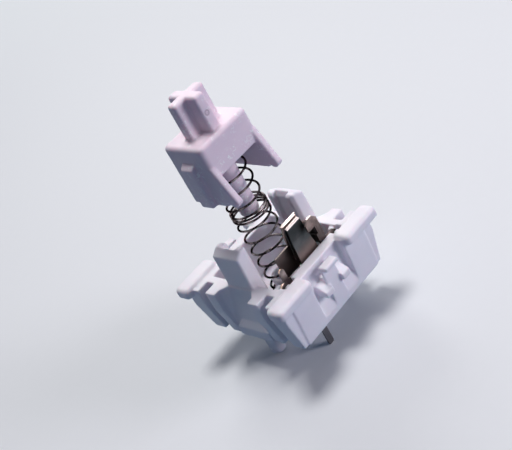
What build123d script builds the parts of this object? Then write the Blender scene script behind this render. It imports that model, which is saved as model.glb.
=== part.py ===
from build123d import *
from math import cos, pi, sin
import os

# Keyboard switch, opened: base, stem raised on its return spring, two contacts.
# Units are millimetres. The origin is on the axis of the centre post, in the plane
# of the circuit board that the base stands on. Z is the way the stem travels.
# The contacts are at the front, -Y.

# Base, outside
body_size = 14.0          # fits a 14 mm plate cut-out
flange_reach = 0.8        # how far the corner bars stand out from the body
foot_inset_x = 0.6        # the body is this much narrower at the board, on each side
foot_inset_y = 0.25
plate_top = 5.0           # the corner bars rest on the plate here
plate_thickness = 1.5
wall_top = 5.7
bar_top = 6.05
bar_inset = 0.1           # from the edge of a latch pocket to the end of a bar
bar_lap = 1.3             # a bar reaches this far back over the body
bar_round = 0.42
bar_corner = 0.55
body_round = 0.25
side_wall_outer = 5.55    # outer face of each side wall, behind the ribs
side_wall = 0.85
end_wall_inner = 4.8      # inner face of the front and back walls
floor_top = 1.2
corner_box_depth = 2.1    # length of a corner box on the side, along Y
corner_step = 0.14        # the outer strip of each corner is set back this much
corner_step_width = 1.2
rib_near = 2.4            # the two ribs on each side wall, distance from the middle
rib_far = 3.8
rib_flare = 0.7           # slope between a rib and the panel, along Y
rib_flare_reach = 0.75
well_round = 0.3

# Clip panel between the ribs, with its nub
clip_top = 5.1            # the panel starts to lean out below this
clip_inset = 0.83         # the panel at the nub, inside the body's widest outline
clip_nub_top = 1.95
clip_nub_foot = 1.15
clip_nub_reach = 0.45
clip_nub_wide = 2.25      # half width of the nub at its foot
clip_nub_narrow = 1.25    # half width of the nub at its top

# Latch places, front and back
tab_width = 1.9
column_top = 5.5          # top of the tab and of the column under it
column_depth = 0.27       # where that column stands free of the wall
column_foot = 4.2         # foot of the gap between them
tab_round = 0.12
latch_width = 1.8
latch_depth = 0.87
latch_bottom = 0.0        # the pocket's floor reaches the widest outline here
latch_ramp_top = 2.9
catch_width = 0.95
catch_root_inset = 0.7    # the ramp of a catch starts this far inside the body's outline
catch_reach = 0.4         # and its tip stands out this far
catch_top = 3.8
catch_tip_top = 3.15
catch_bottom = 2.5

# Notch in the front wall at the outer end of each contact plate
notch_left = -4.35
notch_left_end = -2.85
notch_right = 4.85
notch_right_end = 3.6
notch_depth = 0.65
notch_floor = 4.5
notch_post_width = 0.62
notch_post_top = 5.5
end_post_depth = 0.7
end_post_top = 5.5
end_post_round = 0.2

# Guide towers
tower_width = 3.75
tower_top = 9.9
tower_shoulder = 0.55     # the outer edge of the top is this much lower
tower_foot_inset = 0.04   # outer face, inside the side wall's face, at the floor
tower_head_inset = 0.3    # and at the top
tower_flat = 0.85         # the top is level this far from the inner face
tower_edge = 0.25
tower_jaw = 0.38          # slanted inner corners of the front and back faces
tower_round = 0.25
groove_lead = 0.3         # the groove opens out this much at the top

# Board side
post_radius = 2.0
post_length = 3.3
post_chamfer = 0.3
peg_radius = 0.85
peg_length = 3.05
peg_round = 0.3
peg_spacing = 5.08        # from the axis
pin_width = 0.95
pin_length = 3.3
pin_point = 0.35
pin_tip_inset = 0.22
front_pin_x = -2.54
front_pin_y = -5.08
side_pin_x = 3.81
side_pin_y = -2.54

# Stem
stem_width = 6.7
stem_depth = 5.46
stem_height = 6.5         # shoulder to the foot of the side walls
stem_side_wall = 0.8
stem_roof = 1.4
stem_round = 0.38
stem_corner = 0.6
front_wall_height = 3.5
back_wall_height = 4.6
rail_width = 1.72
rail_reach = 0.58
rail_start = 1.7          # below the shoulder
rail_slope = 0.35         # height of the slanted top of a rail
rail_round = 0.2
leg_width = 0.78
leg_reach = 1.35          # from the front wall to the tip
leg_foot = 6.5
leg_root = 6.15
leg_start = 2.2           # the front of a leg leaves the wall here
leg_blunt = 0.4           # size of the slanted corner at the tip
leg_heel = 0.9            # from the tip to the end of the flat under it
leg_round = 0.22
pole_radius = 1.0
pole_foot = 10.3
pole_chamfer = 0.35
cross_span = 4.0
cross_arm = 1.25
cross_height = 3.75
cross_round = 0.3

# Return spring
spring_radius = 1.93      # to the middle of the wire
wire_radius = 0.115
points_per_turn = 16      # the coil is drawn in short straight lengths
wire_sides = 6
end_coil_gap = 0.03
middle_coil_gap = 0.1
end_turns = 1.0
lower_turns = 6.0
middle_turns = 3.0
upper_turns = 5.0
seat_tube_height = 1.8
seat_tube_wall = 0.42

# Contacts
sheet = 0.2               # thickness of the two terminal plates
leaf_sheet = 0.12
front_plate_left = -4.3
front_plate_right = 1.9
front_plate_top = 5.7
leaf_window = 1.1         # the plate is this much lower behind the leaf
plate_corner = 0.3
tab_left = -3.65
tab_right = -3.0
tab_top = 7.05
tab_corner = 0.2
leaf_left = -0.75
leaf_right = 2.0
leaf_top_left = -0.15
leaf_top_right = 1.75
leaf_top = 9.2
leaf_rise = 0.38          # how far the blade leans inwards
leaf_fold = 0.5
leaf_bend_top = 7.6
leaf_rear_foot = 5.7
leaf_root_top = 4.6
leaf_root_foot = 2.4
leaf_soft = 0.8
side_plate_left = 2.2
side_plate_right = 4.5
head_left = 1.5
head_right = 3.1
head_foot = 7.5
head_height = 1.2
head_round = 0.5
neck_left = 2.65
neck_height = 0.85
side_wing_top = 3.4
upright_left = 0.0
upright_right = 2.15
upright_top = 9.3
upright_neck = -0.3       # left edge, halfway down
upright_neck_foot = 7.8
upright_shoulder = 7.2
upright_low_left = -2.4
upright_foot = 4.6
arm_foot = 5.6
arm_height = 0.95
point_level = 6.15
point_height = 0.24
point_depth = 0.16
moving_point_width = 1.0
fixed_point_length = 0.8

# Positions and fits
raised_shoulder = 21.0    # shoulder height as shown
foot_gap = 0.1            # left under the stem when it is fully down
slide_gap = 0.12
wall_gap = 0.2            # between the stem's side walls and the guide towers
groove_gap = 0.1
pole_gap = 0.12
sheet_gap = 0.05          # moulded slots and walls round the contact plates
spring_gap = 0.18         # inside the stem, round the spring
contact_gap = 0.02        # between the two contact points
leaf_gap = 0.01           # leaf against its plate
over = 1.0                # extra length on what is cut away
root = 0.2                # overlap where two shapes are joined
touch = 0.01              # an edge this close to a level is on it

os.makedirs("parts", exist_ok=True)

body_half = body_size / 2
flange_half = body_half + flange_reach
plate_under = plate_top - plate_thickness
foot_half_x = body_half - foot_inset_x
foot_half_y = body_half - foot_inset_y
bar_start = tab_width / 2 + latch_width + bar_inset
well_x = side_wall_outer - side_wall
clip_face = body_half - clip_inset
half_x = stem_width / 2
half_y = stem_depth / 2
stem_inner_x = half_x - stem_side_wall
stem_inner_y = spring_radius + wire_radius + spring_gap
lowest_shoulder = floor_top + foot_gap + stem_height
rail_outer = half_x + rail_reach
tower_inner = half_x + wall_gap
groove_floor = rail_outer + slide_gap
groove_half = rail_width / 2 + groove_gap
bore_radius = pole_radius + pole_gap
bore_floor = lowest_shoulder - pole_foot - foot_gap
tube_radius = bore_radius + seat_tube_wall
plate_outer = -end_wall_inner + sheet_gap
plate_inner = plate_outer + sheet
leg_tip = -half_y - leg_reach
leaf_root_y = plate_inner + leaf_gap + leaf_sheet / 2
leaf_front_y = leaf_root_y + leaf_rise
leaf_rear_y = leaf_front_y + leaf_fold - leaf_sheet
moving_point_y = leaf_rear_y + leaf_sheet / 2
fixed_point_y = moving_point_y + point_depth + contact_gap
upright_y = fixed_point_y + point_depth
head_top = head_foot + head_height
neck_foot = head_foot - neck_height


def block(x1, x2, y1, y2, z1, z2):
    """A box from two corners."""
    size = (abs(x2 - x1), abs(y2 - y1), abs(z2 - z1))
    middle = ((x1 + x2) / 2, (y1 + y2) / 2, (z1 + z2) / 2)
    return Pos(*middle) * Box(*size)


def column(radius, z1, z2):
    """An upright cylinder on the axis."""
    return Pos(0, 0, z1) * Cylinder(radius, z2 - z1, align=(Align.CENTER, Align.CENTER, Align.MIN))


def side_prism(points, x1, x2):
    """A profile drawn in Y and Z, extruded from x1 to x2."""
    face = make_face(Polyline(*[(x1, y, z) for y, z in points], close=True))
    return extrude(face, amount=x2 - x1, dir=(1, 0, 0))


def front_prism(points, y1, y2):
    """A profile drawn in X and Z, extruded from y1 to y2."""
    face = make_face(Polyline(*[(x, y1, z) for x, z in points], close=True))
    return extrude(face, amount=y2 - y1, dir=(0, 1, 0))


def both_sides(shape):
    """A shape on the right, repeated on the left."""
    return shape + mirror(shape, Plane.YZ)


def both_ends(shape):
    """A shape at the back, repeated at the front."""
    return shape + mirror(shape, Plane.XZ)


def all_corners(shape):
    """A shape at the right back corner, repeated at the four corners."""
    return both_ends(both_sides(shape))


def housing_body():
    """The tapered lower body, square at the plate."""
    foot = Rectangle(2 * foot_half_x, 2 * foot_half_y)
    head = Pos(0, 0, plate_under) * Rectangle(body_size, body_size)
    lower = loft([foot.face(), head.face()])
    upper = block(-body_half, body_half, -body_half, body_half, plate_under, wall_top)
    body = lower + upper
    standing = body.edges().filter_by(lambda e: abs((e @ 1 - e @ 0).Z) > over)
    return fillet(standing, body_round)


def side_recesses():
    """What is cut from the right side wall, outside its outer face."""
    reach = body_half + over
    gap_end = body_half - corner_box_depth
    gap = block(side_wall_outer, reach, rib_far, gap_end, -over, wall_top + over)
    panel = front_prism(
        [
            (side_wall_outer, wall_top + over),
            (side_wall_outer, clip_top),
            (clip_face, clip_nub_top),
            (clip_face, -over),
            (reach, -over),
            (reach, wall_top + over),
        ],
        -rib_near,
        rib_near,
    )
    slope = make_face(
        Polyline(
            (side_wall_outer, rib_near, -over),
            (side_wall_outer, rib_near - rib_flare, -over),
            (side_wall_outer + rib_flare_reach, rib_near, -over),
            close=True,
        )
    )
    flare = extrude(slope, amount=wall_top + 2 * over, dir=(0, 0, 1))
    return both_ends(gap) + (panel - both_ends(flare))


def clip_nub():
    """The nub that holds the base in the plate: a ramp, wider at its foot."""
    ramp = front_prism(
        [
            (clip_face - root, clip_nub_top),
            (clip_face, clip_nub_top),
            (clip_face + clip_nub_reach, clip_nub_foot),
            (clip_face + clip_nub_reach, 0),
            (clip_face - root, 0),
        ],
        -clip_nub_wide,
        clip_nub_wide,
    )
    outline = side_prism(
        [
            (-clip_nub_wide, 0),
            (clip_nub_wide, 0),
            (clip_nub_wide, clip_nub_foot),
            (clip_nub_narrow, clip_nub_top),
            (-clip_nub_narrow, clip_nub_top),
            (-clip_nub_wide, clip_nub_foot),
        ],
        clip_face - over,
        clip_face + over,
    )
    return ramp & outline


def corner_strip():
    """What sets back the outer strip of the back face at the right corner."""
    slope = foot_inset_y / plate_under
    return side_prism(
        [
            (body_half + over, plate_top),
            (body_half - corner_step, plate_top),
            (body_half - corner_step, plate_under),
            (foot_half_y - corner_step - slope * over, -over),
            (body_half + over, -over),
        ],
        body_half - corner_step_width,
        body_half + over,
    )


def corner_bar():
    """One flange bar, the right one at the back, with soft edges."""
    bar = block(bar_start, flange_half, body_half - bar_lap, flange_half, plate_top, bar_top)
    bar = fillet(bar.edges().filter_by(Axis.Z), bar_corner)
    return fillet(bar.faces().sort_by(Axis.Z)[-1].edges(), bar_round)


def latch_place():
    """What is cut for one cover latch, right of the middle at the back."""
    inner = tab_width / 2
    floor = body_half - latch_depth
    return side_prism(
        [
            (body_half + over, bar_top + over),
            (floor, bar_top + over),
            (floor, latch_ramp_top),
            (body_half, latch_bottom),
            (body_half + over, latch_bottom),
        ],
        inner,
        inner + latch_width,
    )


def latch_catch():
    """The wedge that a cover latch snaps over, beside the centre column."""
    inner = tab_width / 2 - root
    buried = body_half - latch_depth - root
    return side_prism(
        [
            (buried, catch_bottom),
            (body_half + catch_reach, catch_bottom),
            (body_half + catch_reach, catch_tip_top),
            (body_half - catch_root_inset, catch_top),
            (buried, catch_top),
        ],
        inner,
        inner + root + catch_width,
    )


def centre_tab():
    """The flange tab between the two latches, at the back."""
    half = tab_width / 2
    tab = block(-half, half, body_half - column_depth, flange_half, plate_top, column_top)
    front = tab.edges().filter_by(lambda e: (e @ 0.5).Y > flange_half - root)
    return fillet(front, tab_round)


def centre_gap():
    """What frees the column under the tab from the wall behind it, at the back."""
    half = tab_width / 2 + root
    column_back = body_half - column_depth
    gap = block(-half, half, body_half - latch_depth, column_back, column_foot, wall_top + over)
    top = block(-half, half, column_back - root, body_half + over, column_top, wall_top + over)
    return gap + top


def guide_tower():
    """The right guide tower: a wall with the rail groove in its inner face."""
    half = tower_width / 2
    foot = floor_top - root
    profile = [
        (tower_inner, foot),
        (side_wall_outer - tower_foot_inset, foot),
        (side_wall_outer - tower_head_inset, tower_top - tower_shoulder),
        (tower_inner + tower_flat, tower_top),
        (tower_inner + tower_edge, tower_top),
        (tower_inner, tower_top - tower_edge),
    ]
    plan = [
        (tower_inner, -half + tower_jaw, foot),
        (tower_inner + tower_jaw, -half, foot),
        (side_wall_outer, -half, foot),
        (side_wall_outer, half, foot),
        (tower_inner + tower_jaw, half, foot),
        (tower_inner, half - tower_jaw, foot),
    ]
    tower = front_prism(profile, -half, half)
    tower = tower & extrude(make_face(Polyline(*plan, close=True)), amount=tower_top, dir=(0, 0, 1))
    ends = tower.edges().filter_by(lambda e: (e @ 0.5).Z > foot + root and abs((e @ 0.5).Y) > half - touch)
    soft = ends.filter_by(lambda e: (e @ 0.5).X > tower_inner + tower_jaw + touch)
    tower = fillet(soft, tower_round)
    lead_foot = tower_top - 2 * groove_lead
    groove = front_prism(
        [
            (tower_inner - over, floor_top),
            (groove_floor, floor_top),
            (groove_floor, lead_foot),
            (groove_floor + groove_lead, tower_top),
            (groove_floor + groove_lead, tower_top + over),
            (tower_inner - over, tower_top + over),
        ],
        -groove_half,
        groove_half,
    )
    return tower - groove


def wall_notch(end, middle, post_x):
    """A notch in the front wall, and the small post that stands in it."""
    half = notch_post_width / 2
    outer = -end_wall_inner - notch_depth
    cut = block(end, middle, outer, -end_wall_inner + root, notch_floor, wall_top + over)
    post = block(
        post_x - half, post_x + half, outer - root, outer + notch_post_width - sheet_gap,
        notch_floor - root, notch_post_top,
    )
    top = post.edges().filter_by(lambda e: (e @ 0.5).Z > notch_post_top - touch)
    return cut, fillet(top, end_post_round)


def end_post(near_x, side):
    """The post behind the end of a contact plate, joined to the side wall."""
    near = plate_inner + sheet_gap
    far_x = side * (well_x + root)
    post = block(near_x, far_x, near, near + end_post_depth, floor_top - root, end_post_top)
    top = post.edges().filter_by(lambda e: (e @ 0.5).Z > end_post_top - touch)
    return fillet(top, end_post_round)


def board_side():
    """Centre post and the two side pegs."""
    post = column(post_radius, -post_length, floor_top)
    post = chamfer(post.faces().sort_by(Axis.Z)[0].edges(), post_chamfer)
    peg = column(peg_radius, -peg_length, root)
    peg = fillet(peg.faces().sort_by(Axis.Z)[0].edges(), peg_round)
    return post + both_sides(Pos(peg_spacing, 0, 0) * peg)


def terminal_slots():
    """Slots through the floor for the two pins, and the pocket of the front one."""
    half = pin_width / 2 + sheet_gap
    deep = sheet / 2 + sheet_gap
    front = block(
        front_pin_x - half, front_pin_x + half, front_pin_y - deep, front_pin_y + deep, -over, floor_top + over
    )
    pocket = block(
        front_pin_x - half, front_pin_x + half, front_pin_y - deep, -end_wall_inner + root,
        floor_top, floor_top + 2 * sheet_gap + sheet,
    )
    side = block(
        side_pin_x - deep, side_pin_x + deep, side_pin_y - half, side_pin_y + half, -over, floor_top + over
    )
    return front + pocket + side


def make_base():
    """The moulded base housing."""
    body = housing_body()
    body = body - both_sides(side_recesses())
    body = body + both_sides(clip_nub())
    body = body - all_corners(corner_strip())
    body = body + all_corners(corner_bar())
    body = body - all_corners(latch_place())
    well = block(-well_x, well_x, -end_wall_inner, end_wall_inner, floor_top, bar_top + over)
    body = body - fillet(well.edges().filter_by(Axis.Z), well_round)
    body = body + all_corners(latch_catch())
    body = body - both_ends(centre_gap())
    body = body + both_ends(centre_tab())
    body = body + both_sides(guide_tower())
    body = body + board_side()
    body = body + column(tube_radius, floor_top - root, floor_top + seat_tube_height)
    left_cut, left_post = wall_notch(notch_left, notch_left_end, notch_left + notch_post_width)
    right_cut, right_post = wall_notch(notch_right, notch_right_end, notch_right - notch_post_width)
    body = body - left_cut - right_cut + left_post + right_post
    body = body + end_post(notch_left + notch_post_width, -1) + end_post(notch_right - notch_post_width, 1)
    bore = column(bore_radius, bore_floor, floor_top + seat_tube_height + over)
    return body - bore - terminal_slots()


def stem_leg():
    """The right leg: the side wall's front edge, drawn out forwards to a tip."""
    front = -half_y
    leg = side_prism(
        [
            (front + stem_side_wall, -leg_start),
            (front, -leg_start),
            (leg_tip, -leg_foot + leg_blunt),
            (leg_tip + leg_blunt, -leg_foot),
            (leg_tip + leg_heel, -leg_foot),
            (front, -leg_root),
            (front + stem_side_wall, -leg_root),
        ],
        half_x - leg_width,
        half_x,
    )
    soft = leg.edges().filter_by(lambda e: (e @ 0.5).Y < front - root and (e @ 0.5).Z > root - leg_foot)
    return fillet(soft, leg_round)


def make_stem():
    """The stem, built with its shoulder at z = 0."""
    hull = block(-half_x, half_x, -half_y, half_y, -stem_height, 0)
    hull = fillet(hull.edges().filter_by(Axis.Z), stem_corner)
    hull = fillet(hull.faces().sort_by(Axis.Z)[-1].edges(), stem_round)
    foot = -stem_height - over
    inside = block(-stem_inner_x, stem_inner_x, -stem_inner_y, stem_inner_y, foot, -stem_roof)
    front_opening = block(
        -stem_inner_x, stem_inner_x, -half_y - over, -stem_inner_y + root, foot, -front_wall_height
    )
    back_opening = block(
        -stem_inner_x, stem_inner_x, stem_inner_y - root, half_y + over, foot, -back_wall_height
    )
    stem = hull - inside - front_opening - back_opening
    stem = stem + both_sides(stem_leg())
    rail = front_prism(
        [
            (half_x - root, -stem_height),
            (rail_outer, -stem_height),
            (rail_outer, -rail_start - rail_slope),
            (half_x + rail_round, -rail_start),
            (half_x - root, -rail_start),
        ],
        -rail_width / 2,
        rail_width / 2,
    )
    rail = fillet(rail.edges().filter_by(lambda e: (e @ 0.5).X > rail_outer - touch), rail_round)
    stem = stem + both_sides(rail)
    pole = column(pole_radius, -pole_foot, -stem_roof + root)
    stem = stem + chamfer(pole.faces().sort_by(Axis.Z)[0].edges(), pole_chamfer)
    cross = Rectangle(cross_span, cross_arm) + Rectangle(cross_arm, cross_span)
    cross = extrude(Pos(0, 0, -root) * cross, amount=cross_height + root)
    arm_end = cross_span / 2 - touch
    ends = cross.edges().filter_by(Axis.Z)
    ends = ends.filter_by(lambda e: max(abs((e @ 0.5).X), abs((e @ 0.5).Y)) > arm_end)
    cross = fillet(ends, cross_round)
    cross = fillet(cross.faces().sort_by(Axis.Z)[-1].edges(), cross_round)
    return Pos(0, 0, raised_shoulder) * (stem + cross)


def make_spring():
    """Closed ends, open coils, and a short close-wound group in the middle."""
    low = floor_top + wire_radius
    high = raised_shoulder - stem_roof - wire_radius
    end_pitch = 2 * wire_radius + end_coil_gap
    middle_pitch = 2 * wire_radius + middle_coil_gap
    closed = 2 * end_pitch * end_turns + middle_pitch * middle_turns
    open_pitch = (high - low - closed) / (lower_turns + upper_turns)
    stretches = [
        (end_pitch, end_turns),
        (open_pitch, lower_turns),
        (middle_pitch, middle_turns),
        (open_pitch, upper_turns),
        (end_pitch, end_turns),
    ]
    points = [(spring_radius, 0, low)]
    height = low
    for pitch, turns in stretches:
        for _ in range(round(turns * points_per_turn)):
            height = height + pitch / points_per_turn
            angle = 2 * pi * len(points) / points_per_turn
            points.append((spring_radius * cos(angle), spring_radius * sin(angle), height))
    path = Polyline(*points)
    section = Plane(origin=path @ 0, z_dir=path % 0) * RegularPolygon(wire_radius, wire_sides)
    return sweep(section, path=path, transition=Transition.RIGHT)


def pin_outline(middle):
    """The flat pin below the floor, with a blunt point."""
    wide = pin_width / 2
    top = floor_top + sheet_gap + sheet
    return [
        (middle - wide, top),
        (middle - wide, -pin_length + pin_point),
        (middle - wide + pin_tip_inset, -pin_length),
        (middle + wide - pin_tip_inset, -pin_length),
        (middle + wide, -pin_length + pin_point),
        (middle + wide, top),
    ]


def make_front_terminal():
    """The plate that carries the leaf. Its foot steps forward to the pin."""
    foot = floor_top + sheet_gap
    pin_left = front_pin_x - pin_width / 2
    pin_right = front_pin_x + pin_width / 2
    outline = [
        (front_plate_left, foot + over),
        (front_plate_left, front_plate_top - plate_corner),
        (front_plate_left + plate_corner, front_plate_top),
        (tab_left, front_plate_top),
        (tab_left, tab_top - tab_corner),
        (tab_left + tab_corner, tab_top),
        (tab_right - tab_corner, tab_top),
        (tab_right, tab_top - tab_corner),
        (tab_right, front_plate_top),
        (leaf_left - plate_corner, front_plate_top - leaf_window),
        (front_plate_right, front_plate_top - leaf_window),
        (front_plate_right, foot),
        (pin_left, foot),
        (pin_left, foot + over),
    ]
    plate = front_prism(outline, plate_outer, plate_inner)
    step = block(pin_left, pin_right, front_pin_y - sheet / 2, plate_inner, foot, foot + sheet)
    pin = front_prism(pin_outline(front_pin_x), front_pin_y - sheet / 2, front_pin_y + sheet / 2)
    return plate + step + pin


def make_leaf():
    """The thin blade, bent from one strip: up the plate, over the fold and down again."""
    bend = (leaf_fold - leaf_sheet) / 2 - leaf_gap
    top = leaf_top - leaf_sheet / 2
    points = [
        (0, leaf_root_y, leaf_root_foot),
        (0, leaf_root_y, leaf_root_top),
        (0, leaf_front_y, leaf_bend_top),
        (0, leaf_front_y, top),
        (0, leaf_rear_y, top),
        (0, leaf_rear_y, leaf_rear_foot),
    ]
    path = FilletPolyline(*points, radius=[leaf_soft, leaf_soft, bend, bend])
    start = Plane(origin=path @ 0, x_dir=(1, 0, 0), z_dir=path % 0)
    strip = start * Rectangle(leaf_right - leaf_left, leaf_sheet)
    blade = Pos((leaf_left + leaf_right) / 2, 0, 0) * sweep(strip, path=path)
    outline = front_prism(
        [
            (leaf_left, 0),
            (leaf_left, leaf_root_top),
            (leaf_top_left, leaf_top),
            (leaf_top_right, leaf_top),
            (leaf_right, leaf_root_top),
            (leaf_right, 0),
        ],
        -body_half,
        0,
    )
    return blade & outline


def make_side_terminal():
    """The fixed plate: its head, the upright behind the leaf and the pin at the side."""
    foot = floor_top + sheet_gap
    outline = [
        (side_plate_left, foot),
        (side_plate_left, neck_foot),
        (neck_left, neck_foot),
        (neck_left, head_foot),
        (head_left, head_foot),
        (head_left, head_top - head_round),
        (head_left + head_round, head_top),
        (head_right - head_round, head_top),
        (head_right, head_top - head_round),
        (head_right, front_plate_top),
        (side_plate_right - plate_corner, front_plate_top),
        (side_plate_right, front_plate_top - plate_corner),
        (side_plate_right, foot + over),
        (side_pin_x + sheet / 2, foot + over),
        (side_pin_x + sheet / 2, foot),
    ]
    plate = front_prism(outline, plate_outer, plate_inner)
    wing = block(
        side_pin_x - sheet / 2, side_pin_x + sheet / 2, plate_outer, side_pin_y + pin_width / 2,
        foot, side_wing_top,
    )
    turn_right = side_plate_left + sheet
    turn = block(
        side_plate_left, turn_right, plate_outer, upright_y + sheet, arm_foot, arm_foot + arm_height
    )
    upright = front_prism(
        [
            (upright_low_left, upright_foot),
            (upright_right, upright_foot),
            (upright_right, arm_foot),
            (turn_right, arm_foot),
            (turn_right, arm_foot + arm_height),
            (upright_right, arm_foot + arm_height),
            (upright_right, upright_top),
            (upright_left, upright_top),
            (upright_neck, upright_neck_foot),
            (upright_neck, upright_shoulder),
            (upright_low_left, upright_shoulder),
        ],
        upright_y,
        upright_y + sheet,
    )
    pin = side_prism(pin_outline(side_pin_y), side_pin_x - sheet / 2, side_pin_x + sheet / 2)
    return plate + wing + turn + upright + pin


def contact_bar(width, y, height):
    """One contact point, centred behind the leaf."""
    middle = (leaf_top_left + leaf_top_right) / 2
    return block(
        middle - width / 2, middle + width / 2, y, y + point_depth,
        point_level - height / 2, point_level + height / 2,
    )


parts = {
    "base_housing": make_base(),
    "stem": make_stem(),
    "return_spring": make_spring(),
    "front_terminal": make_front_terminal(),
    "contact_leaf": make_leaf(),
    "side_terminal": make_side_terminal(),
    "leaf_contact_point": contact_bar(moving_point_width, moving_point_y, point_height),
    "fixed_contact_point": contact_bar(point_height, fixed_point_y, fixed_point_length),
}
for name, shape in parts.items():
    export_step(shape, f"parts/{name}.step")
    print(name, "solids", len(shape.solids()), "volume", round(shape.volume, 3), "valid", shape.is_valid)
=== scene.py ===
from math import cos, pi, radians, sin

import bpy
from mathutils import Matrix, Quaternion, Vector


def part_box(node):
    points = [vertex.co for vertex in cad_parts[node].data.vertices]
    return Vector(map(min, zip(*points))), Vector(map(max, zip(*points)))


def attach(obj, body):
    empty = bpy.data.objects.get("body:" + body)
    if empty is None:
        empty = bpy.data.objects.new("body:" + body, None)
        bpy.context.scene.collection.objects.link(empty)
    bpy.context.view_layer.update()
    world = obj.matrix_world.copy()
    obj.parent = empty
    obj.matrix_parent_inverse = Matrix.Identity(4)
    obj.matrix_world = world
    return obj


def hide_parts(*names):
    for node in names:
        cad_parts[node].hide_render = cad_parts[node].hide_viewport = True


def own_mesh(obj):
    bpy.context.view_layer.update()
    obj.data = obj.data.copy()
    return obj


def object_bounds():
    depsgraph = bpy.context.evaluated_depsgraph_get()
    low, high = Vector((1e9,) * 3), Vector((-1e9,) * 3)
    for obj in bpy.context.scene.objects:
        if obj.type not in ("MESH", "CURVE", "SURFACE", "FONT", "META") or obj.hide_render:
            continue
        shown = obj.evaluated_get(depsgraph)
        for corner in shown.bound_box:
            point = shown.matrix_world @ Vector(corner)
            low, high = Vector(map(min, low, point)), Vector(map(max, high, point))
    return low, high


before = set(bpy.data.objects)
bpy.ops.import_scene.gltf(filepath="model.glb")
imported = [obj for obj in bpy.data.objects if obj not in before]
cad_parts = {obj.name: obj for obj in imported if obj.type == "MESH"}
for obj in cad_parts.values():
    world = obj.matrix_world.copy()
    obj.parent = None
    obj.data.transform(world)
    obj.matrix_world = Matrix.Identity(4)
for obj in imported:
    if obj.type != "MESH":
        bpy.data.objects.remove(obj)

cad_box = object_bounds()

# Camera.
# It looks down on the front left corner of the switch, rolled to the left, with a short telephoto lens.
mm = 0.001
camera_target = Vector((-0.59, -0.53, 9.69)) * mm
camera_distance = 100.7 * mm
camera_azimuth = radians(-31.86)
camera_elevation = radians(29.90)
camera_roll = radians(-29.75)
camera_data = bpy.data.cameras.new("camera")
camera_data.sensor_width = 36
camera_data.lens = 73.55
camera_data.clip_start = 5 * mm
camera_data.clip_end = 2
camera = bpy.data.objects.new("camera", camera_data)
bpy.context.scene.collection.objects.link(camera)
toward_camera = Vector((
    sin(camera_azimuth) * cos(camera_elevation),
    -cos(camera_azimuth) * cos(camera_elevation),
    sin(camera_elevation),
))
facing = (-toward_camera).to_track_quat("-Z", "Y")
camera.rotation_mode = "QUATERNION"
camera.location = camera_target + toward_camera * camera_distance
camera.rotation_quaternion = facing @ Quaternion((0, 0, 1), camera_roll)
bpy.context.scene.camera = camera
bpy.context.scene.view_settings.view_transform = "Standard"


# Floor.
# A plain pale sheet under the pins. It keeps the shadow, and it is the background of every view.
# The light that it throws back on the switch is dim and blue, and far away it keeps its pale colour.
def shown_rays(nodes, link):
    """1 for what the camera sees, straight, mirrored or through glass, and 0 for light thrown back."""
    ray = nodes.new("ShaderNodeLightPath")
    seen = nodes.new("ShaderNodeMath")
    seen.operation = "ADD"
    shown = nodes.new("ShaderNodeMath")
    shown.operation = "ADD"
    shown.use_clamp = True
    link(ray.outputs["Is Camera Ray"], seen.inputs[0])
    link(ray.outputs["Is Glossy Ray"], seen.inputs[1])
    link(seen.outputs["Value"], shown.inputs[0])
    link(ray.outputs["Is Transmission Ray"], shown.inputs[1])
    return shown.outputs["Value"]


floor_size = 1.2
floor_gap = 0.02 * mm
floor_colour = (0.80, 0.83, 0.86, 1)
floor_speckle = 0.985
floor_bounce = (0.05, 0.14, 0.25, 1)
floor_far_colour = (0.77, 0.80, 0.84, 1)
floor_lit_reach = 0.09
floor_far_reach = 0.26
bpy.ops.object.select_all(action="DESELECT")
bpy.ops.mesh.primitive_plane_add(size=floor_size, location=(0, 0, 0))
floor = bpy.context.object
floor.name = "floor"
for corner in floor.data.vertices:
    corner.co.z = cad_box[0].z - floor_gap
floor_material = bpy.data.materials.new("pale_floor")
floor_material.use_nodes = True
floor_nodes = floor_material.node_tree.nodes
floor_link = floor_material.node_tree.links.new
floor_shader = floor_nodes["Principled BSDF"]
floor_shader.inputs["Roughness"].default_value = 0.7
floor_shader.inputs["Specular IOR Level"].default_value = 0.2
floor_place = floor_nodes.new("ShaderNodeTexCoord")
floor_noise = floor_nodes.new("ShaderNodeTexNoise")
floor_noise.inputs["Scale"].default_value = 900
floor_noise.inputs["Detail"].default_value = 3
floor_ramp = floor_nodes.new("ShaderNodeValToRGB")
floor_ramp.color_ramp.elements[0].color = [part * floor_speckle for part in floor_colour[:3]] + [1]
floor_ramp.color_ramp.elements[1].color = floor_colour
floor_mix = floor_nodes.new("ShaderNodeMix")
floor_mix.data_type = "RGBA"
floor_mix.inputs["A"].default_value = floor_bounce
floor_away = floor_nodes.new("ShaderNodeVectorMath")
floor_away.operation = "LENGTH"
floor_far = floor_nodes.new("ShaderNodeMapRange")
floor_far.interpolation_type = "SMOOTHSTEP"
floor_far.inputs["From Min"].default_value = floor_lit_reach
floor_far.inputs["From Max"].default_value = floor_far_reach
floor_far_seen = floor_nodes.new("ShaderNodeMath")
floor_far_seen.operation = "MULTIPLY"
floor_glow = floor_nodes.new("ShaderNodeEmission")
floor_glow.inputs["Color"].default_value = floor_far_colour
floor_cover = floor_nodes.new("ShaderNodeMixShader")
floor_shown = shown_rays(floor_nodes, floor_link)
floor_link(floor_place.outputs["Object"], floor_noise.inputs["Vector"])
floor_link(floor_noise.outputs["Fac"], floor_ramp.inputs["Fac"])
floor_link(floor_shown, floor_mix.inputs["Factor"])
floor_link(floor_ramp.outputs["Color"], floor_mix.inputs["B"])
floor_link(floor_mix.outputs["Result"], floor_shader.inputs["Base Color"])
floor_link(floor_place.outputs["Object"], floor_away.inputs[0])
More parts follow.
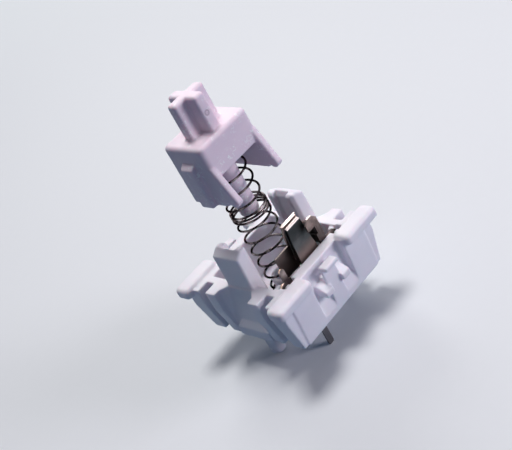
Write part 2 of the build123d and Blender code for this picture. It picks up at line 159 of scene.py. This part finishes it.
floor_link(floor_away.outputs["Value"], floor_far.inputs["Value"])
floor_link(floor_far.outputs["Result"], floor_far_seen.inputs[0])
floor_link(floor_shown, floor_far_seen.inputs[1])
floor_link(floor_far_seen.outputs["Value"], floor_cover.inputs[0])
floor_link(floor_shader.outputs["BSDF"], floor_cover.inputs[1])
floor_link(floor_glow.outputs["Emission"], floor_cover.inputs[2])
floor_link(floor_cover.outputs["Shader"], floor_nodes["Material Output"].inputs["Surface"])
floor.data.materials.append(floor_material)

# Light.
# One soft lamp almost straight above, a wide weaker one at the front right, a third far behind that
# shows in the tops of the metal, and a dim even surround.
world_fill = (0.100, 0.104, 0.130, 1)
world = bpy.data.worlds.new("studio")
bpy.context.scene.world = world
world.use_nodes = True
world_nodes = world.node_tree.nodes
world_link = world.node_tree.links.new
world_mix = world_nodes.new("ShaderNodeMix")
world_mix.data_type = "RGBA"
world_mix.inputs["A"].default_value = world_fill
world_mix.inputs["B"].default_value = floor_far_colour
world_link(shown_rays(world_nodes, world_link), world_mix.inputs["Factor"])
world_link(world_mix.outputs["Result"], world_nodes["Background"].inputs["Color"])
# Each lamp's name, place and width in millimetres, power in watts, and tint.
lamps = [
    ("top_lamp", (40, 25, 230), 70, 0.32, (1.0, 0.975, 0.965)),
    ("front_lamp", (120, -190, 70), 100, 0.28, (0.98, 0.92, 1.0)),
    ("back_lamp", (125, 190, 135), 90, 0.14, (1.0, 0.985, 0.98)),
]
for lamp_name, lamp_place, lamp_width, power, tint in lamps:
    lamp_data = bpy.data.lights.new(lamp_name, "AREA")
    lamp_data.shape = "DISK"
    lamp_data.size = lamp_width * mm
    lamp_data.energy = power
    lamp_data.color = tint
    lamp = bpy.data.objects.new(lamp_name, lamp_data)
    lamp.location = Vector(lamp_place) * mm
    lamp.rotation_euler = (camera_target - lamp.location).to_track_quat("-Z", "Y").to_euler()
    bpy.context.scene.collection.objects.link(lamp)


# Base housing.
# One white nylon moulding with a faint lavender tint. It is satin, a little cloudy, with a fine grain
# from the mould, and its edges are slightly rounded.
def new_group(name, inputs, outputs):
    """A node group with named inputs and outputs."""
    group = bpy.data.node_groups.new(name, "ShaderNodeTree")
    for socket_name, kind, value in inputs:
        socket = group.interface.new_socket(name=socket_name, in_out="INPUT", socket_type=kind)
        socket.default_value = value
    for socket_name, kind in outputs:
        group.interface.new_socket(name=socket_name, in_out="OUTPUT", socket_type=kind)
    return group


def moulded_plastic_group():
    """Soft clouds of a second colour, and a fine grain that changes the gloss and the height."""
    group = new_group(
        "moulded_plastic",
        (
            ("Colour", "NodeSocketColor", (0.8, 0.8, 0.8, 1)),
            ("Cloud Colour", "NodeSocketColor", (0.7, 0.7, 0.7, 1)),
            ("Cloud Scale", "NodeSocketFloat", 300),
            ("Grain Scale", "NodeSocketFloat", 5000),
            ("Grain Depth", "NodeSocketFloat", 0.1),
            ("Roughness", "NodeSocketFloat", 0.4),
            ("Roughness Change", "NodeSocketFloat", 0.1),
        ),
        (
            ("Colour", "NodeSocketColor"),
            ("Roughness", "NodeSocketFloat"),
            ("Height", "NodeSocketFloat"),
        ),
    )
    nodes = group.nodes
    link = group.links.new
    given = nodes.new("NodeGroupInput")
    result = nodes.new("NodeGroupOutput")
    place = nodes.new("ShaderNodeTexCoord")
    cloud = nodes.new("ShaderNodeTexNoise")
    cloud.inputs["Detail"].default_value = 4
    grain = nodes.new("ShaderNodeTexNoise")
    grain.inputs["Detail"].default_value = 2
    cloud_mask = nodes.new("ShaderNodeMapRange")
    cloud_mask.inputs["From Min"].default_value = 0.35
    cloud_mask.inputs["From Max"].default_value = 0.7
    mix = nodes.new("ShaderNodeMix")
    mix.data_type = "RGBA"
    rough = nodes.new("ShaderNodeMath")
    rough.operation = "MULTIPLY_ADD"
    height = nodes.new("ShaderNodeMath")
    height.operation = "MULTIPLY"
    link(place.outputs["Object"], cloud.inputs["Vector"])
    link(place.outputs["Object"], grain.inputs["Vector"])
    link(given.outputs["Cloud Scale"], cloud.inputs["Scale"])
    link(given.outputs["Grain Scale"], grain.inputs["Scale"])
    link(cloud.outputs["Fac"], cloud_mask.inputs["Value"])
    link(cloud_mask.outputs["Result"], mix.inputs["Factor"])
    link(given.outputs["Colour"], mix.inputs["A"])
    link(given.outputs["Cloud Colour"], mix.inputs["B"])
    link(grain.outputs["Fac"], rough.inputs[0])
    link(given.outputs["Roughness Change"], rough.inputs[1])
    link(given.outputs["Roughness"], rough.inputs[2])
    link(grain.outputs["Fac"], height.inputs[0])
    link(given.outputs["Grain Depth"], height.inputs[1])
    link(mix.outputs["Result"], result.inputs["Colour"])
    link(rough.outputs["Value"], result.inputs["Roughness"])
    link(height.outputs["Value"], result.inputs["Height"])
    return group


plastic_group = moulded_plastic_group()


def moulded_plastic(name, colour, cloud_colour, cloud_scale, grain_scale, grain_depth, roughness):
    """A satin plastic that lets a little light in."""
    material = bpy.data.materials.new(name)
    material.use_nodes = True
    nodes = material.node_tree.nodes
    link = material.node_tree.links.new
    shader = nodes["Principled BSDF"]
    shader.inputs["Subsurface Weight"].default_value = 0.4
    shader.inputs["Subsurface Radius"].default_value = (1.0, 0.6, 0.7)
    shader.inputs["Subsurface Scale"].default_value = 0.5 * mm
    surface = nodes.new("ShaderNodeGroup")
    surface.name = "moulded surface"
    surface.node_tree = plastic_group
    surface.inputs["Colour"].default_value = colour
    surface.inputs["Cloud Colour"].default_value = cloud_colour
    surface.inputs["Cloud Scale"].default_value = cloud_scale
    surface.inputs["Grain Scale"].default_value = grain_scale
    surface.inputs["Grain Depth"].default_value = grain_depth
    surface.inputs["Roughness"].default_value = roughness
    bump = nodes.new("ShaderNodeBump")
    bump.name = "grain bump"
    bump.inputs["Strength"].default_value = 0.5
    bump.inputs["Distance"].default_value = 0.02 * mm
    link(surface.outputs["Colour"], shader.inputs["Base Color"])
    link(surface.outputs["Roughness"], shader.inputs["Roughness"])
    link(surface.outputs["Height"], bump.inputs["Height"])
    link(bump.outputs["Normal"], shader.inputs["Normal"])
    return material


def dress(piece, material):
    """Give a piece one material."""
    piece.data.materials.clear()
    piece.data.materials.append(material)


def select_only(piece):
    """Operators then act on this piece alone."""
    bpy.ops.object.select_all(action="DESELECT")
    piece.select_set(True)
    bpy.context.view_layer.objects.active = piece


def merged_copy(node_name, piece_name):
    """A copy of a CAD mesh with its corners merged."""
    merge_within = 0.0005 * mm
    piece = bpy.data.objects.new(piece_name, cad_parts[node_name].data.copy())
    bpy.context.scene.collection.objects.link(piece)
    select_only(piece)
    bpy.ops.object.mode_set(mode="EDIT")
    bpy.ops.mesh.select_all(action="SELECT")
    bpy.ops.mesh.remove_doubles(threshold=merge_within)
    bpy.ops.object.mode_set(mode="OBJECT")
    return piece


def apply_modifier(piece, kind, **settings):
    """Change the selected piece's mesh by one modifier."""
    modifier = piece.modifiers.new(kind.lower(), kind)
    for setting, value in settings.items():
        setattr(modifier, setting, value)
    bpy.ops.object.modifier_apply(modifier=modifier.name)


def soften(node_name, piece_name, grid, passes):
    """A moulding has no sharp edge: its form is laid on a fine grid, in millimetres, and relaxed."""
    piece = merged_copy(node_name, piece_name)
    piece.data.transform(Matrix.Scale(1 / mm, 4))
    apply_modifier(piece, "REMESH", mode="VOXEL", voxel_size=grid)
    apply_modifier(piece, "SMOOTH", factor=0.5, iterations=passes)
    apply_modifier(piece, "DECIMATE", ratio=0.4)
    piece.data.transform(Matrix.Scale(mm, 4))
    bpy.ops.object.shade_smooth()
    return piece


housing_plastic = moulded_plastic(
    "housing_nylon",
    colour=(0.87, 0.845, 0.90, 1),
    cloud_colour=(0.82, 0.79, 0.865, 1),
    cloud_scale=260,
    grain_scale=5200,
    grain_depth=0.25,
    roughness=0.42,
)
housing = soften("base_housing", "housing", grid=0.08, passes=8)
dress(housing, housing_plastic)
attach(housing, "base")
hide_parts("base_housing")


# Stem.
# One acetal moulding, pale pinkish lilac, that slides in the towers of the base. Its edges are rounder
# than the base's. The front arm of its cross has a small round mark, where the mould was filled, whose
# sunken ring and dimple are darkened with painted shade, and its body is scuffed white in patches.
def stem_marks_group():
    """White scuffs in patches, and one round mark: a sunken ring with a dimple in the middle, darkened
    with painted shade.
    """
    group = new_group(
        "stem_marks",
        (
            ("Colour", "NodeSocketColor", (0.8, 0.8, 0.8, 1)),
            ("Scuff Colour", "NodeSocketColor", (0.95, 0.93, 0.96, 1)),
            ("Scuff Scale", "NodeSocketFloat", 2600),
            ("Patch Scale", "NodeSocketFloat", 420),
            ("Mark Place", "NodeSocketVector", (0, 0, 0)),
            ("Mark Radius", "NodeSocketFloat", 0.25 * mm),
        ),
        (
            ("Colour", "NodeSocketColor"),
            ("Height", "NodeSocketFloat"),
        ),
    )
    nodes = group.nodes
    link = group.links.new
    given = nodes.new("NodeGroupInput")
    result = nodes.new("NodeGroupOutput")
    place = nodes.new("ShaderNodeTexCoord")
    scuff = nodes.new("ShaderNodeTexNoise")
    scuff.inputs["Detail"].default_value = 3
    scuff.inputs["Distortion"].default_value = 1.2
    scuff_mask = nodes.new("ShaderNodeMapRange")
    scuff_mask.inputs["From Min"].default_value = 0.57
    scuff_mask.inputs["From Max"].default_value = 0.63
    patch = nodes.new("ShaderNodeTexNoise")
    patch_mask = nodes.new("ShaderNodeMapRange")
    patch_mask.inputs["From Min"].default_value = 0.47
    patch_mask.inputs["From Max"].default_value = 0.58
    patch_mask.inputs["To Max"].default_value = 0.9
    scuffed = nodes.new("ShaderNodeMath")
    scuffed.operation = "MULTIPLY"
    scuff_mix = nodes.new("ShaderNodeMix")
    scuff_mix.data_type = "RGBA"
    away = nodes.new("ShaderNodeVectorMath")
    away.operation = "DISTANCE"
    radii = nodes.new("ShaderNodeMath")
    radii.operation = "DIVIDE"
    ring = nodes.new("ShaderNodeValToRGB")
    ring.color_ramp.interpolation = "EASE"
    ring.color_ramp.elements[0].color = (0.75, 0.75, 0.75, 1)
    ring.color_ramp.elements[1].color = (0, 0, 0, 1)
    ring.color_ramp.elements.new(0.3).color = (0.35, 0.35, 0.35, 1)
    ring.color_ramp.elements.new(0.6).color = (1, 1, 1, 1)
    shade = nodes.new("ShaderNodeMath")
    shade.operation = "MULTIPLY"
    shade.inputs[1].default_value = 0.6
    # The ring and the dimple are mixed toward a dark purple: painted shade in the sunken mark.
    mark_shade_mix = nodes.new("ShaderNodeMix")
    mark_shade_mix.data_type = "RGBA"
    mark_shade_mix.inputs["B"].default_value = (0.30, 0.20, 0.28, 1)
    sink = nodes.new("ShaderNodeMath")
    sink.operation = "MULTIPLY"
    sink.inputs[1].default_value = -1
    link(place.outputs["Object"], scuff.inputs["Vector"])
    link(place.outputs["Object"], patch.inputs["Vector"])
    link(given.outputs["Scuff Scale"], scuff.inputs["Scale"])
    link(given.outputs["Patch Scale"], patch.inputs["Scale"])
    link(scuff.outputs["Fac"], scuff_mask.inputs["Value"])
    link(patch.outputs["Fac"], patch_mask.inputs["Value"])
    link(scuff_mask.outputs["Result"], scuffed.inputs[0])
    link(patch_mask.outputs["Result"], scuffed.inputs[1])
    link(scuffed.outputs["Value"], scuff_mix.inputs["Factor"])
    link(given.outputs["Colour"], scuff_mix.inputs["A"])
    link(given.outputs["Scuff Colour"], scuff_mix.inputs["B"])
    link(place.outputs["Object"], away.inputs[0])
    link(given.outputs["Mark Place"], away.inputs[1])
    link(away.outputs["Value"], radii.inputs[0])
    link(given.outputs["Mark Radius"], radii.inputs[1])
    link(radii.outputs["Value"], ring.inputs["Fac"])
    link(ring.outputs["Color"], shade.inputs[0])
    link(shade.outputs["Value"], mark_shade_mix.inputs["Factor"])
    link(scuff_mix.outputs["Result"], mark_shade_mix.inputs["A"])
    link(ring.outputs["Color"], sink.inputs[0])
    link(mark_shade_mix.outputs["Result"], result.inputs["Colour"])
    link(sink.outputs["Value"], result.inputs["Height"])
    return group


gate_mark = (-0.12 * mm, -2.0 * mm, 22.8 * mm)
gate_radius = 0.36 * mm
stem_plastic = moulded_plastic(
    "stem_acetal",
    colour=(0.84, 0.715, 0.80, 1),
    cloud_colour=(0.79, 0.665, 0.765, 1),
    cloud_scale=330,
    grain_scale=4200,
    grain_depth=0.35,
    roughness=0.46,
)
stem_nodes = stem_plastic.node_tree.nodes
stem_link = stem_plastic.node_tree.links.new
stem_marks = stem_nodes.new("ShaderNodeGroup")
stem_marks.node_tree = stem_marks_group()
stem_marks.inputs["Mark Place"].default_value = gate_mark
stem_marks.inputs["Mark Radius"].default_value = gate_radius
stem_dent = stem_nodes.new("ShaderNodeBump")
stem_dent.inputs["Strength"].default_value = 0.8
stem_dent.inputs["Distance"].default_value = 0.05 * mm
stem_link(stem_nodes["moulded surface"].outputs["Colour"], stem_marks.inputs["Colour"])
stem_link(stem_marks.outputs["Colour"], stem_nodes["Principled BSDF"].inputs["Base Color"])
stem_link(stem_marks.outputs["Height"], stem_dent.inputs["Height"])
stem_link(stem_nodes["grain bump"].outputs["Normal"], stem_dent.inputs["Normal"])
stem_link(stem_dent.outputs["Normal"], stem_nodes["Principled BSDF"].inputs["Normal"])
slider = soften("stem", "slider", grid=0.06, passes=24)
dress(slider, stem_plastic)
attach(slider, "stem")
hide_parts("stem")

# Return spring.
# Drawn steel wire of 0.23 mm, dark, with bright patches painted on as glints. It is wound with closed
# ends and a close-wound group in the middle, and it stands in the base and holds the stem up.
wire_radius = 0.115 * mm
coil_radius = 1.93 * mm
end_pitch = 0.26 * mm
end_turns = 1.0
lower_turns = 6.0
middle_pitch = 0.33 * mm
middle_turns = 3.0
upper_turns = 5.0
points_per_turn = 28
spring_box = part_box("return_spring")
spring_foot = spring_box[0].z + wire_radius
spring_head = spring_box[1].z - wire_radius
closed_height = 2 * end_pitch * end_turns + middle_pitch * middle_turns
open_pitch = (spring_head - spring_foot - closed_height) / (lower_turns + upper_turns)
# The pitch and the turns of each stretch, from the seat up.
coil_stretches = [
    (end_pitch, end_turns),
    (open_pitch, lower_turns),
    (middle_pitch, middle_turns),
    (open_pitch, upper_turns),
    (end_pitch, end_turns),
]
coil_heights = []
stretch_foot = spring_foot
for pitch, turns in coil_stretches:
    for step in range(round(turns * points_per_turn)):
        coil_heights.append(stretch_foot + pitch * step / points_per_turn)
    stretch_foot = stretch_foot + pitch * turns
coil_heights.append(stretch_foot)
coil_curve = bpy.data.curves.new("coil", "CURVE")
coil_curve.dimensions = "3D"
coil_curve.bevel_depth = wire_radius
coil_curve.bevel_resolution = 3
coil_curve.use_fill_caps = True
coil_line = coil_curve.splines.new("NURBS")
coil_line.points.add(len(coil_heights) - 1)
for index, coil_height in enumerate(coil_heights):
    turn = 2 * pi * index / points_per_turn
    coil_line.points[index].co = (coil_radius * cos(turn), coil_radius * sin(turn), coil_height, 1)
coil_line.order_u = 3
coil_line.use_endpoint_u = True
coil_line.resolution_u = 2
coil = bpy.data.objects.new("spring_coil", coil_curve)
bpy.context.scene.collection.objects.link(coil)
select_only(coil)
bpy.ops.object.convert(target="MESH")
bpy.ops.object.shade_smooth()
spring_steel = bpy.data.materials.new("spring_wire")
spring_steel.use_nodes = True
steel_nodes = spring_steel.node_tree.nodes
steel_link = spring_steel.node_tree.links.new
steel_shader = steel_nodes["Principled BSDF"]
steel_shader.inputs["Metallic"].default_value = 1
steel_shader.inputs["Specular Tint"].default_value = (0.12, 0.11, 0.12, 1)
steel_place = steel_nodes.new("ShaderNodeTexCoord")
glint_and_gloss_noise = steel_nodes.new("ShaderNodeTexNoise")
glint_and_gloss_noise.inputs["Scale"].default_value = 1300
glint_and_gloss_noise.inputs["Detail"].default_value = 3
# The ramp paints bright patches on the dark wire as glints; the same noise also varies the roughness.
steel_glint_ramp = steel_nodes.new("ShaderNodeValToRGB")
steel_glint_ramp.color_ramp.elements[0].position = 0.46
steel_glint_ramp.color_ramp.elements[0].color = (0.022, 0.018, 0.02, 1)
steel_glint_ramp.color_ramp.elements[1].position = 0.72
steel_glint_ramp.color_ramp.elements[1].color = (0.36, 0.31, 0.31, 1)
steel_rough = steel_nodes.new("ShaderNodeMapRange")
steel_rough.inputs["To Min"].default_value = 0.09
steel_rough.inputs["To Max"].default_value = 0.22
steel_link(steel_place.outputs["Object"], glint_and_gloss_noise.inputs["Vector"])
steel_link(glint_and_gloss_noise.outputs["Fac"], steel_glint_ramp.inputs["Fac"])
steel_link(steel_glint_ramp.outputs["Color"], steel_shader.inputs["Base Color"])
steel_link(glint_and_gloss_noise.outputs["Fac"], steel_rough.inputs["Value"])
steel_link(steel_rough.outputs["Result"], steel_shader.inputs["Roughness"])
dress(coil, spring_steel)
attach(coil, "base")
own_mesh(coil)
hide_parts("return_spring")


# Terminals.
# Plates stamped from thin sheet and plated, each pressed into a slot of the base. The faces have dulled
# to brown, and faces turned up near the top are painted bright as highlights.
def sheet_metal(
    name,
    face_dark,
    face_light,
    foot_colour,
    foot_level,
    highlight_colour,
    highlight_from,
    stain_scale,
    roughness,
):
    """Stained sheet with one colour below a foot level, and upward faces above a given height painted
    bright as a highlight.
    """
    foot_fade = 1.0 * mm
    highlight_fade = 0.3 * mm
    smoother = 0.08
    rougher = 0.12
    material = bpy.data.materials.new(name)
    material.use_nodes = True
    nodes = material.node_tree.nodes
    link = material.node_tree.links.new
    shader = nodes["Principled BSDF"]
    shader.inputs["Metallic"].default_value = 1
    place = nodes.new("ShaderNodeTexCoord")
    stain = nodes.new("ShaderNodeTexNoise")
    stain.inputs["Scale"].default_value = stain_scale
    stain.inputs["Detail"].default_value = 5
    ramp = nodes.new("ShaderNodeValToRGB")
    ramp.color_ramp.elements[0].position = 0.35
    ramp.color_ramp.elements[0].color = face_dark
    ramp.color_ramp.elements[1].position = 0.68
    ramp.color_ramp.elements[1].color = face_light
    level = nodes.new("ShaderNodeSeparateXYZ")
    foot = nodes.new("ShaderNodeMapRange")
    foot.inputs["From Min"].default_value = foot_level
    foot.inputs["From Max"].default_value = foot_level - foot_fade
    foot_mix = nodes.new("ShaderNodeMix")
    foot_mix.data_type = "RGBA"
    foot_mix.inputs["B"].default_value = foot_colour
    # Faces that turn upward, above the given height, are painted in a bright colour: a painted
    # highlight.
    side = nodes.new("ShaderNodeSeparateXYZ")
    upward_mask = nodes.new("ShaderNodeMapRange")
    upward_mask.inputs["From Min"].default_value = 0.35
    upward_mask.inputs["From Max"].default_value = 0.65
    high = nodes.new("ShaderNodeMapRange")
    high.inputs["From Min"].default_value = highlight_from
    high.inputs["From Max"].default_value = highlight_from + highlight_fade
    highlight_mask = nodes.new("ShaderNodeMath")
    highlight_mask.operation = "MULTIPLY"
    highlight_mix = nodes.new("ShaderNodeMix")
    highlight_mix.data_type = "RGBA"
    highlight_mix.inputs["B"].default_value = highlight_colour
    rough = nodes.new("ShaderNodeMapRange")
    rough.inputs["To Min"].default_value = roughness - smoother
    rough.inputs["To Max"].default_value = roughness + rougher
    rolled = nodes.new("ShaderNodeMapping")
    rolled.inputs["Scale"].default_value = (400, 400, 7000)
    lines = nodes.new("ShaderNodeTexNoise")
    lines.inputs["Scale"].default_value = 1
    bump = nodes.new("ShaderNodeBump")
    bump.inputs["Strength"].default_value = 0.25
    bump.inputs["Distance"].default_value = 0.01 * mm
    link(place.outputs["Object"], stain.inputs["Vector"])
    link(stain.outputs["Fac"], ramp.inputs["Fac"])
    link(place.outputs["Object"], level.inputs["Vector"])
    link(level.outputs["Z"], foot.inputs["Value"])
    link(foot.outputs["Result"], foot_mix.inputs["Factor"])
    link(ramp.outputs["Color"], foot_mix.inputs["A"])
    link(place.outputs["Normal"], side.inputs["Vector"])
    link(side.outputs["Z"], upward_mask.inputs["Value"])
    link(level.outputs["Z"], high.inputs["Value"])
    link(upward_mask.outputs["Result"], highlight_mask.inputs[0])
    link(high.outputs["Result"], highlight_mask.inputs[1])
    link(highlight_mask.outputs["Value"], highlight_mix.inputs["Factor"])
    link(foot_mix.outputs["Result"], highlight_mix.inputs["A"])
    link(highlight_mix.outputs["Result"], shader.inputs["Base Color"])
    link(stain.outputs["Fac"], rough.inputs["Value"])
    link(rough.outputs["Result"], shader.inputs["Roughness"])
    link(place.outputs["Object"], rolled.inputs["Vector"])
    link(rolled.outputs["Vector"], lines.inputs["Vector"])
    link(lines.outputs["Fac"], bump.inputs["Height"])
    link(bump.outputs["Normal"], shader.inputs["Normal"])
    return material


def change_by_box(piece, low, high, operation):
    """Join a box to a piece, or cut one out of it."""
    bpy.ops.object.select_all(action="DESELECT")
    bpy.ops.mesh.primitive_cube_add(size=1)
    box = bpy.context.object
    for corner in box.data.vertices:
        corner.co = Vector((low[i] if corner.co[i] < 0 else high[i] for i in range(3)))
    select_only(piece)
    apply_modifier(piece, "BOOLEAN", operation=operation, solver="EXACT", object=box)
    bpy.data.objects.remove(box)


# Both pins are narrower below the floor of the base than the slots that they go through.
front_pin_x = -2.54 * mm
side_pin_y = -2.54 * mm
pin_half = 0.34 * mm
pin_side = 0.6 * mm
pin_shoulder = 0.2 * mm
cut_past = 1.0 * mm
pin_cuts = ((-pin_side, -pin_half), (pin_half, pin_side))
smooth_up_to = radians(30)
front_metal = sheet_metal(
    "front_sheet",
    face_dark=(0.17, 0.145, 0.14, 1),
    face_light=(0.36, 0.31, 0.29, 1),
    foot_colour=(0.19, 0.185, 0.20, 1),
    foot_level=1.0 * mm,
    # Upward faces above 4 mm are painted bright as a highlight.
    highlight_colour=(0.70, 0.50, 0.38, 1),
    highlight_from=4.0 * mm,
    stain_scale=1300,
    roughness=0.34,
)
front_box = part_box("front_terminal")
front_plate = merged_copy("front_terminal", "front_plate")
for near, far in pin_cuts:
    change_by_box(
        front_plate,
        (front_pin_x + near, front_box[0].y - cut_past, front_box[0].z - cut_past),
        (front_pin_x + far, front_box[1].y + cut_past, pin_shoulder),
        "DIFFERENCE",
    )
bpy.ops.object.shade_smooth_by_angle(angle=smooth_up_to)
dress(front_plate, front_metal)
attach(front_plate, "base")
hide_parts("front_terminal")

# The side terminal's upright is turned over at the top, and its bend stands as high as the head.
sheet = 0.2 * mm
lip_left = -0.1 * mm
lip_right = 1.9 * mm
lip_depth = 0.2 * mm
lip_slit = 0.1 * mm
bend_left = 2.45 * mm
bend_foot = 6.0 * mm
bend_top = 7.9 * mm
bend_inset = 0.01 * mm
side_metal = sheet_metal(
    "terminal_sheet",
    face_dark=(0.15, 0.12, 0.11, 1),
    face_light=(0.38, 0.30, 0.275, 1),
    # Below the head the whole plate is painted dark brown as shade, and its upward faces above the
    # head's foot are painted light as highlights.
    foot_colour=(0.11, 0.09, 0.085, 1),
    foot_level=7.9 * mm,
    highlight_colour=(0.74, 0.60, 0.56, 1),
    highlight_from=8.0 * mm,
    stain_scale=1100,
    roughness=0.36,
)
leaf_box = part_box("contact_leaf")
side_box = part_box("side_terminal")
upright_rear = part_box("fixed_contact_point")[1].y + sheet
side_plate = merged_copy("side_terminal", "side_plate")
change_by_box(
    side_plate,
    (lip_left, leaf_box[1].y + lip_slit, side_box[1].z - lip_depth),
    (lip_right, upright_rear, side_box[1].z),
    "UNION",
)
change_by_box(
    side_plate,
    (bend_left, side_box[0].y + bend_inset, bend_foot),
    (bend_left + sheet, upright_rear, bend_top),
    "UNION",
)
for near, far in pin_cuts:
    change_by_box(
        side_plate,
        (side_box[0].x - cut_past, side_pin_y + near, side_box[0].z - cut_past),
        (side_box[1].x + cut_past, side_pin_y + far, pin_shoulder),
        "DIFFERENCE",
    )
bpy.ops.object.shade_smooth_by_angle(angle=smooth_up_to)
dress(side_plate, side_metal)
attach(side_plate, "base")
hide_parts("side_terminal")

# Contact leaf.
# One strip of thin grey-green spring metal, folded over at the top. Its upward faces at the top are
# painted bright as highlights, and its lower part is painted a warmer brown as a reflection. It is
# fixed to the front terminal at its root and springs against the upright.
leaf_metal = sheet_metal(
    "leaf_strip",
    face_dark=(0.035, 0.04, 0.042, 1),
    face_light=(0.08, 0.085, 0.087, 1),
    # Below 6.9 mm the strip is painted a warmer brown as a reflection.
    foot_colour=(0.17, 0.13, 0.12, 1),
    foot_level=6.9 * mm,
    highlight_colour=(0.74, 0.63, 0.60, 1),
    highlight_from=8.6 * mm,
    stain_scale=600,
    roughness=0.42,
)
dress(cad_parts["contact_leaf"], leaf_metal)

# Contact points.
# Two short bars cut from wire of gold-coloured contact metal. One is welded to the leaf and one to the
# upright, and they lie crossed.
point_metal = sheet_metal(
    "contact_bar",
    face_dark=(0.62, 0.44, 0.18, 1),
    face_light=(0.78, 0.58, 0.27, 1),
    foot_colour=(0.62, 0.44, 0.18, 1),
    foot_level=0,
    # Their upward faces are painted a brighter gold as a highlight.
    highlight_colour=(0.80, 0.62, 0.32, 1),
    highlight_from=0,
    stain_scale=2400,
    roughness=0.25,
)
dress(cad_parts["leaf_contact_point"], point_metal)
dress(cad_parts["fixed_contact_point"], point_metal)
